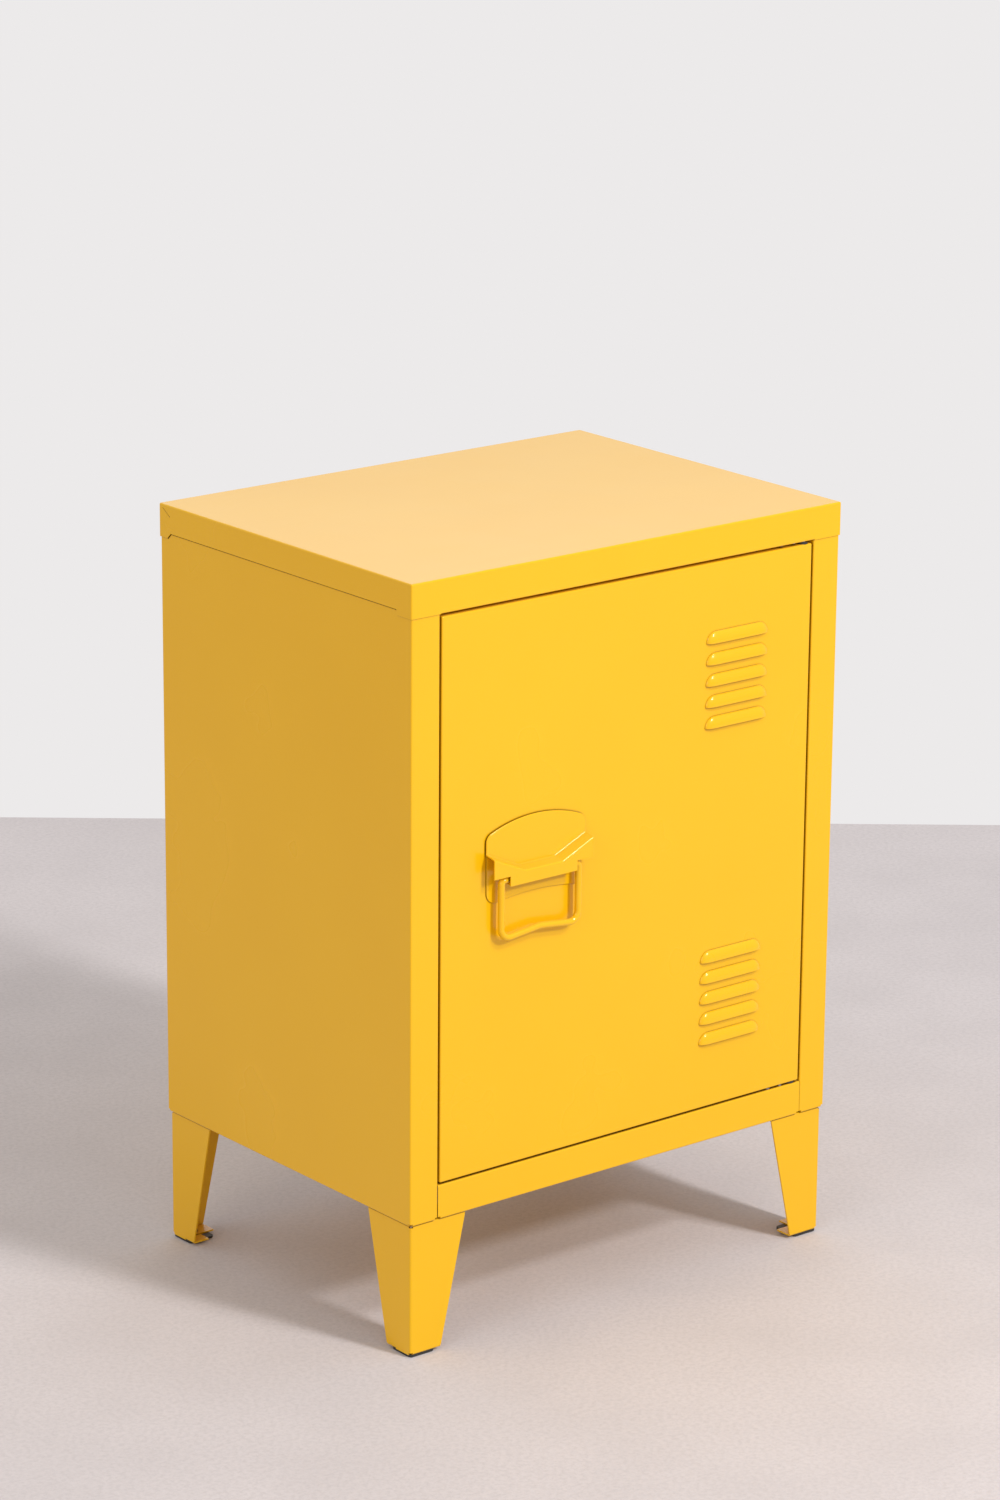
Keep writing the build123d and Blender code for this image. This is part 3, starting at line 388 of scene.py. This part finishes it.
def solid_boxes(node):
    """The (low, high) corners of each separate solid in a CAD node."""
    probe = bpy.data.objects.new("probe", NODES[node].data.copy())
    bpy.context.scene.collection.objects.link(probe)
    pick(probe)
    bpy.ops.object.mode_set(mode="EDIT")
    bpy.ops.mesh.select_all(action="SELECT")
    bpy.ops.mesh.remove_doubles(threshold=SAME_POINT)
    bpy.ops.mesh.separate(type="LOOSE")
    bpy.ops.object.mode_set(mode="OBJECT")
    boxes = []
    for piece in list(bpy.context.selected_objects):
        corners = [vertex.co for vertex in piece.data.vertices]
        boxes.append((Vector([min(c[i] for c in corners) for i in range(3)]),
                      Vector([max(c[i] for c in corners) for i in range(3)])))
        bpy.data.objects.remove(piece)
    return boxes


def select_faces(obj, wanted):
    """In edit mode, selects the faces that wanted(face) accepts."""
    bpy.ops.mesh.select_mode(type="FACE")
    bpy.ops.mesh.select_all(action="DESELECT")
    bpy.ops.object.mode_set(mode="OBJECT")
    for face in obj.data.polygons:
        face.select = wanted(face)
    bpy.ops.object.mode_set(mode="EDIT")


def numbered(name, places):
    """Names each place: name_1, name_2 and so on."""
    return {f"{name}_{number}": place for number, place in enumerate(places, 1)}


def placed_copies(model, places, body, material, node=None):
    """Copies a piece modelled at the origin, each copy with its own mesh; places maps names to matrices."""
    for name, place in places.items():
        copy = bpy.data.objects.new(name, model.data.copy())
        bpy.context.scene.collection.objects.link(copy)
        copy.data.transform(place)
        assign(copy, material)
        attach(copy, body)
        if node:
            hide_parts(node)


def soften(obj, width):
    """Rounds a modelled piece's edges and smooths it."""
    pick(obj)
    round_edges(obj, width, angle=30)
    bpy.ops.object.shade_smooth_by_angle(angle=math.radians(40))


def hexagon_blank(flats, low, high):
    """A hexagonal prism about the Z axis, its corners turned off at both ends."""
    end_face = 0.47  # radius of the round face left at each end, as a share of the flats
    clearance = 1.002  # keeps the turning sphere off the corners at mid height
    radius = flats / 2 / math.cos(math.pi / 6)
    bpy.ops.object.select_all(action="DESELECT")
    bpy.ops.mesh.primitive_cylinder_add(vertices=6, radius=radius, depth=high - low,
                                        location=(0, 0, (low + high) / 2), rotation=(0, 0, math.pi / 6))
    blank = bpy.context.object
    bpy.ops.object.transform_apply(location=True, rotation=True, scale=True)
    bpy.ops.object.select_all(action="DESELECT")
    bpy.ops.mesh.primitive_uv_sphere_add(segments=64, ring_count=48, radius=1,
                                         location=(0, 0, (low + high) / 2))
    turning = bpy.context.object
    half = (high - low) / 2
    rim = flats * end_face
    swell = radius * clearance
    turning.scale = (swell, swell, half / math.sqrt(1 - (rim / swell) ** 2))
    cut = blank.modifiers.new("turned corners", "BOOLEAN")
    cut.operation = "INTERSECT"
    cut.solver = "EXACT"
    cut.object = turning
    pick(blank)
    bpy.ops.object.modifier_apply(modifier=cut.name)
    bpy.data.objects.remove(turning)
    return blank


def rolled_thread(radius, low, high, pitch):
    """A threaded shank about the Z axis: ridges one pitch apart between two heights."""
    root = 0.86  # radius at the foot of the thread, as a share of the radius
    bpy.ops.object.select_all(action="DESELECT")
    bpy.ops.mesh.primitive_cylinder_add(vertices=28, radius=radius * root, depth=pitch / 4,
                                        location=(0, 0, low + pitch / 8))
    shank = bpy.context.object
    bpy.ops.object.transform_apply(location=True, rotation=True, scale=True)
    bpy.ops.object.mode_set(mode="EDIT")
    select_faces(shank, lambda face: face.normal.z > 0.9)
    for ridge in range(int((high - low - pitch / 4) / pitch)):
        for growth in (1 / root, root):
            bpy.ops.mesh.extrude_region_move(TRANSFORM_OT_translate={"value": (0, 0, pitch / 2)})
            bpy.ops.transform.resize(value=(growth, growth, 1))
    bpy.ops.object.mode_set(mode="OBJECT")
    return shank


def join(first, *others):
    """One object from several."""
    pick(first)
    for other in others:
        other.select_set(True)
    bpy.ops.object.join()
    return first


def leg_bolt(flats, length):
    """A bolt about the Z axis, its head from 0 up and its thread above it."""
    head = hexagon_blank(flats, 0, BOLT_HEAD_HEIGHT)
    soften(head, HEXAGON_ROUNDING)
    thread = rolled_thread(THREAD_RADIUS, BOLT_HEAD_HEIGHT, length, THREAD_PITCH)
    soften(thread, THREAD_ROUNDING)
    return join(head, thread)


def leg_nut(flats, height):
    """A bored nut about the Z axis, from 0 up."""
    nut = hexagon_blank(flats, 0, height)
    bpy.ops.object.select_all(action="DESELECT")
    bpy.ops.mesh.primitive_cylinder_add(vertices=32, radius=NUT_BORE_RADIUS, depth=30 * MM)
    drill = bpy.context.object
    bore = nut.modifiers.new("bore", "BOOLEAN")
    bore.solver = "EXACT"
    bore.object = drill
    pick(nut)
    bpy.ops.object.modifier_apply(modifier=bore.name)
    bpy.data.objects.remove(drill)
    soften(nut, HEXAGON_ROUNDING)
    return nut


def spot_weld():
    """A raised ring round a shallow dimple, on the XY plane, facing +Z."""
    bpy.ops.object.select_all(action="DESELECT")
    bpy.ops.mesh.primitive_cylinder_add(vertices=28, radius=WELD_RADIUS, depth=WELD_THICKNESS)
    mark = bpy.context.object
    bpy.ops.object.mode_set(mode="EDIT")
    select_faces(mark, lambda face: face.normal.z > 0.9)
    bpy.ops.mesh.inset(thickness=0.7 * MM)
    bpy.ops.mesh.inset(thickness=0.5 * MM, depth=-0.07 * MM)
    bpy.ops.object.mode_set(mode="OBJECT")
    soften(mark, 0.05 * MM)
    return mark


# ---- operators -----------------------------------------------------------------------------
class CABINET_OT_groups(bpy.types.Operator):
    """Build the shader groups that the finishes share"""
    bl_idname = "cabinet.groups"
    bl_label = "Shader groups"

    def execute(self, context):
        grain_group()
        dust_and_sheen_group()
        seam_shade_group()
        return {"FINISHED"}


class CABINET_OT_panels(bpy.types.Operator):
    """Coat the body panels, the door and the shelf"""
    bl_idname = "cabinet.panels"
    bl_label = "Panels, door and shelf"

    def execute(self, context):
        coat = coat_material(context, "panel_coat")
        for node in SHEET_NODES:
            assign(finished_copy(node, context.scene.cabinet_coat.edge), coat)
        return {"FINISHED"}


class CABINET_OT_legs(bpy.types.Operator):
    """Coat the four folded legs"""
    bl_idname = "cabinet.legs"
    bl_label = "Legs"

    def execute(self, context):
        coat = coat_material(context, "leg_coat", roughness_shift=0.03)
        for node in LEG_NODES:
            assign(finished_copy(node, context.scene.cabinet_coat.edge), coat)
        return {"FINISHED"}


class CABINET_OT_handle(bpy.types.Operator):
    """Coat the hooded handle and its bail"""
    bl_idname = "cabinet.handle"
    bl_label = "Handle"

    def execute(self, context):
        coat = coat_material(context, "handle_coat", roughness_shift=-0.04)
        for node in HANDLE_NODES:
            assign(finished_copy(node, context.scene.cabinet_coat.edge), coat)
        assign(finished_copy("bail", 0.0), coat)
        return {"FINISHED"}


class CABINET_OT_fixings(bpy.types.Operator):
    """Finish the screws, rivets, pins, hinge brackets and hinge bushes"""
    bl_idname = "cabinet.fixings"
    bl_label = "Fixings"

    def execute(self, context):
        zinc = plated_material("zinc_plate", (0.56, 0.57, 0.58), 0.32)
        for node in ZINC_NODES:
            assign(NODES[node], zinc)
        nylon = plastic_material("hinge_nylon", (0.026, 0.025, 0.024), 0.45, 2500.0)
        for node in ("upper_hinge_bush", "lower_hinge_bush"):
            assign(NODES[node], nylon)
        return {"FINISHED"}


class CABINET_OT_leg_bolts(bpy.types.Operator):
    """Model the bolts and nuts that hold the legs"""
    bl_idname = "cabinet.leg_bolts"
    bl_label = "Leg bolts and nuts"

    def execute(self, context):
        zinc = plated_material("bolt_plate", (0.60, 0.61, 0.60), 0.28)
        bolts = {}
        boxes = sorted(solid_boxes("leg_bolts"), key=lambda box: tuple(box[0]))
        for number, (low, high) in enumerate(boxes, 1):
            length = round((high.z - low.z) / MM, 2)
            if length not in bolts:
                bolts[length] = leg_bolt(high.y - low.y, high.z - low.z)
            middle = (low + high) / 2
            place = {f"leg_bolt_{number}_1": Matrix.Translation((middle.x, middle.y, low.z))}
            placed_copies(bolts[length], place, "cabinet", zinc, "leg_bolts")
        for bolt in bolts.values():
            bpy.data.objects.remove(bolt)

        boxes = solid_boxes("leg_nuts")
        low, high = boxes[0]
        nut = leg_nut(high.y - low.y, high.z - low.z)
        places = [Matrix.Translation(((a.x + b.x) / 2, (a.y + b.y) / 2, a.z)) for a, b in boxes]
        placed_copies(nut, numbered("leg_nut", places), "cabinet", zinc, "leg_nuts")
        bpy.data.objects.remove(nut)
        return {"FINISHED"}


class CABINET_OT_welds(bpy.types.Operator):
    """Mark the spot welds of the door's stiffener and of the shelf clips"""
    bl_idname = "cabinet.welds"
    bl_label = "Spot welds"

    def execute(self, context):
        coat = coat_material(context, "weld_coat", roughness_shift=0.02)
        mark = spot_weld()
        low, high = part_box("door_stiffener")
        inner = low.y + SHEET
        edge_distance = 6 * MM
        towards_back = Matrix.Rotation(-math.pi / 2, 4, "X")
        rows = 9
        places = []
        for x in (low.x + edge_distance, high.x - edge_distance):
            for row in range(rows):
                z = low.z + (high.z - low.z) * (row + 0.5) / rows
                places.append(Matrix.Translation((x, inner, z)) @ towards_back)
        placed_copies(mark, numbered("stiffener_weld", places), "door", coat)

        places = []
        for low, high in solid_boxes("shelf_clips"):
            is_left = low.x < 0
            wall = low.x + CLIP_SHEET if is_left else high.x - CLIP_SHEET
            turn = Matrix.Rotation(math.pi / 2 if is_left else -math.pi / 2, 4, "Y")
            for share in (0.25, 0.75):
                y = low.y + (high.y - low.y) * share
                places.append(Matrix.Translation((wall, y, low.z + edge_distance)) @ turn)
        placed_copies(mark, numbered("clip_weld", places), "cabinet", coat)
        bpy.data.objects.remove(mark)
        return {"FINISHED"}


class CABINET_OT_catch(bpy.types.Operator):
    """Finish the magnetic catch and its strike plate"""
    bl_idname = "cabinet.catch"
    bl_label = "Catch"

    def execute(self, context):
        assign(NODES["catch_housing"], plastic_material("catch_plastic", (0.022, 0.022, 0.023), 0.42, 2200.0))
        assign(NODES["catch_magnet"], plated_material("pole_steel", (0.30, 0.30, 0.31), 0.45))
        assign(NODES["strike_plate"], plated_material("strike_steel", (0.50, 0.50, 0.49), 0.30))
        return {"FINISHED"}


class CABINET_OT_feet(bpy.types.Operator):
    """Finish the foot pads"""
    bl_idname = "cabinet.feet"
    bl_label = "Foot pads"

    def execute(self, context):
        rubber = plastic_material("pad_plastic", (0.020, 0.019, 0.018), 0.6, 1500.0)
        for node in PAD_NODES:
            assign(NODES[node], rubber)
        return {"FINISHED"}


def soft_light(name, place, target, size, power, colour=(1, 1, 1)):
    """A rectangular soft box that faces target, its power in watts."""
    bpy.ops.object.light_add(type="AREA", location=place)
    light = bpy.context.object
    light.name = name
    light.data.shape = "RECTANGLE"
    light.data.size, light.data.size_y = size
    light.data.energy = power
    light.data.color = colour
    light.rotation_euler = (Vector(target) - Vector(place)).to_track_quat("-Z", "Y").to_euler()


class CABINET_OT_stage(bpy.types.Operator):
    """Lay the floor, hang the soft lights and place the camera"""
    bl_idname = "cabinet.stage"
    bl_label = "Studio"

    def execute(self, context):
        stage = context.scene.cabinet_stage
        ahead = Vector((math.sin(stage.yaw), math.cos(stage.yaw), 0))
        aside = Vector((ahead.y, -ahead.x, 0))

        bpy.ops.object.select_all(action="DESELECT")
        bpy.ops.mesh.primitive_plane_add(size=1, location=(0, 0, 0))
        floor = context.object
        floor.name = "studio_floor"
        reach = 7.0
        corners = [(-1, -1), (1, -1), (-1, 1), (1, 1)]
        for vertex, (across, along) in zip(floor.data.vertices, corners):
            far = stage.floor_behind if along > 0 else -reach
            vertex.co = aside * (across * reach) + ahead * far
        assign(floor, concrete_material(stage.floor_colour))

        soft_light("key_softbox", place=(0.70, -3.32, 2.47), target=(0, 0, 0.35), size=(0.36, 0.36), power=66)
        soft_light("crown_softbox", place=(0.77, -2.87, 3.32), target=(0, 0, 0.35), size=(0.42, 0.42),
                   power=52)
        soft_light("fill_softbox", place=(-3.6, -1.2, 1.9), target=(0, 0, 0.3), size=(2.2, 1.8), power=25,
                   colour=(1.0, 0.92, 0.76))
        soft_light("rear_softbox", place=(2.2, 2.9, 2.3), target=(0, 0, 0.4), size=(3.0, 1.6), power=9)

        world = bpy.data.worlds.new("studio")
        world.use_nodes = True
        context.scene.world = world
        tree = world.node_tree
        tree.nodes.clear()
        glow = add_node(tree, "ShaderNodeBackground", Strength=0.73)
        glow.inputs["Color"].default_value = (1.0, 0.985, 0.97, 1)
        wall = add_node(tree, "ShaderNodeBackground", Strength=1.0)
        wall.inputs["Color"].default_value = (*stage.wall_colour, 1)
        switch = tree.nodes.new("ShaderNodeMixShader")
        path = tree.nodes.new("ShaderNodeLightPath")
        output = tree.nodes.new("ShaderNodeOutputWorld")
        tree.links.new(path.outputs["Is Camera Ray"], switch.inputs[0])
        tree.links.new(glow.outputs[0], switch.inputs[1])
        tree.links.new(wall.outputs[0], switch.inputs[2])
        tree.links.new(switch.outputs[0], output.inputs["Surface"])
        context.scene.view_settings.view_transform = "Standard"

        line = ahead * math.cos(stage.pitch) - Vector((0, 0, math.sin(stage.pitch)))
        upright = aside.cross(line)
        turned_right = aside * math.cos(stage.roll) + upright * math.sin(stage.roll)
        turned_up = upright * math.cos(stage.roll) - aside * math.sin(stage.roll)
        bpy.ops.object.camera_add()
        camera = context.object
        camera.name = "studio_camera"
        turn = Matrix((turned_right, turned_up, -line)).transposed().to_4x4()
        place = Vector((-2.180, -2.683, 1.412))
        camera.matrix_world = Matrix.Translation(place) @ turn
        camera.data.sensor_width = 36
        camera.data.lens = stage.lens
        camera.data.clip_end = 60
        context.scene.camera = camera
        return {"FINISHED"}


class CABINET_PT_sidebar(bpy.types.Panel):
    """Lists the steps in the order in which they are used"""
    bl_label = "Locker cabinet"
    bl_idname = "CABINET_PT_sidebar"
    bl_space_type = "VIEW_3D"
    bl_region_type = "UI"
    bl_category = "Cabinet"

    def draw(self, context):
        for step in STEPS:
            self.layout.operator(step.bl_idname)
        for settings in (context.scene.cabinet_coat, context.scene.cabinet_stage):
            box = self.layout.box()
            for name in settings.__annotations__:
                box.prop(settings, name)


STEPS = (CABINET_OT_groups, CABINET_OT_panels, CABINET_OT_legs, CABINET_OT_handle, CABINET_OT_fixings,
         CABINET_OT_leg_bolts, CABINET_OT_welds, CABINET_OT_catch, CABINET_OT_feet, CABINET_OT_stage)
CLASSES = (CoatSettings, StageSettings) + STEPS + (CABINET_PT_sidebar,)


def register():
    for cls in CLASSES:
        bpy.utils.register_class(cls)
    bpy.types.Scene.cabinet_coat = PointerProperty(type=CoatSettings)
    bpy.types.Scene.cabinet_stage = PointerProperty(type=StageSettings)


def unregister():
    del bpy.types.Scene.cabinet_stage
    del bpy.types.Scene.cabinet_coat
    for cls in reversed(CLASSES):
        bpy.utils.unregister_class(cls)


def main():
    register()
    for step in STEPS:
        area, name = step.bl_idname.split(".")
        getattr(getattr(bpy.ops, area), name)()


if __name__ == "__main__":
    main()
